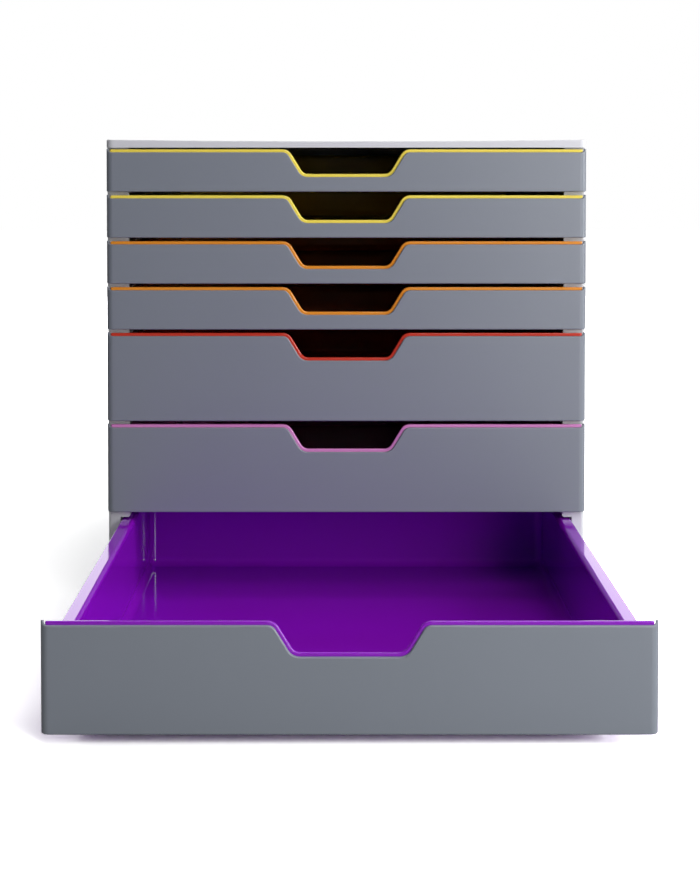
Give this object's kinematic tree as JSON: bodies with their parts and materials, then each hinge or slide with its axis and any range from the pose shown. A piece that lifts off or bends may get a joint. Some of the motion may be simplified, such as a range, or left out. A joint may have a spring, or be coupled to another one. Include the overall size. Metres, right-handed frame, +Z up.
{
  "type": "paper drawer cabinet",
  "caption": "Desktop cabinet of stacked pull-out paper drawers: coloured trays with grey notched fronts slide in a light grey case, the lowest one pulled out.",
  "frame": {"origin": "on the ground, under the middle of the box round the whole object with its lowest drawer pulled out", "axes": "+Z up, +Y towards the back of the case, +X to the right as seen from the front; drawers pull out along -Y"},
  "size_m": [0.288, 0.611, 0.2838],
  "materials": {
    "case_light_grey": "satin",
    "front_grey": "satin",
    "tray_yellow": "gloss",
    "tray_orange": "gloss",
    "tray_red": "gloss",
    "tray_pink": "gloss",
    "tray_purple": "gloss",
    "foot_rubber": "matte"
  },
  "bodies": {
    "case": {"case_top": "case_light_grey", "case_base": "case_light_grey", "case_left_side": "case_light_grey", "case_right_side": "case_light_grey", "case_back": "case_light_grey", "foot_front_left": "foot_rubber", "foot_front_right": "foot_rubber", "foot_rear_left": "foot_rubber", "foot_rear_right": "foot_rubber"},
    "drawer_1": {"drawer_1_tray": "tray_yellow", "drawer_1_front": "front_grey"},
    "drawer_2": {"drawer_2_tray": "tray_yellow", "drawer_2_front": "front_grey"},
    "drawer_3": {"drawer_3_tray": "tray_orange", "drawer_3_front": "front_grey"},
    "drawer_4": {"drawer_4_tray": "tray_orange", "drawer_4_front": "front_grey"},
    "drawer_5": {"drawer_5_tray": "tray_red", "drawer_5_front": "front_grey"},
    "drawer_6": {"drawer_6_tray": "tray_pink", "drawer_6_front": "front_grey"},
    "drawer_7": {"drawer_7_tray": "tray_purple", "drawer_7_front": "front_grey"}
  },
  "joints": [
    {"name": "drawer_1_slide", "type": "slide", "parent": "case", "child": "drawer_1", "axis": [0, -1, 0], "range_m": [0, 0.27]},
    {"name": "drawer_2_slide", "type": "slide", "parent": "case", "child": "drawer_2", "axis": [0, -1, 0], "range_m": [0, 0.27]},
    {"name": "drawer_3_slide", "type": "slide", "parent": "case", "child": "drawer_3", "axis": [0, -1, 0], "range_m": [0, 0.27]},
    {"name": "drawer_4_slide", "type": "slide", "parent": "case", "child": "drawer_4", "axis": [0, -1, 0], "range_m": [0, 0.27]},
    {"name": "drawer_5_slide", "type": "slide", "parent": "case", "child": "drawer_5", "axis": [0, -1, 0], "range_m": [0, 0.27]},
    {"name": "drawer_6_slide", "type": "slide", "parent": "case", "child": "drawer_6", "axis": [0, -1, 0], "range_m": [0, 0.27]},
    {"name": "drawer_7_slide", "type": "slide", "parent": "case", "child": "drawer_7", "axis": [0, -1, 0], "range_m": [-0.255, 0.015]}
  ]
}
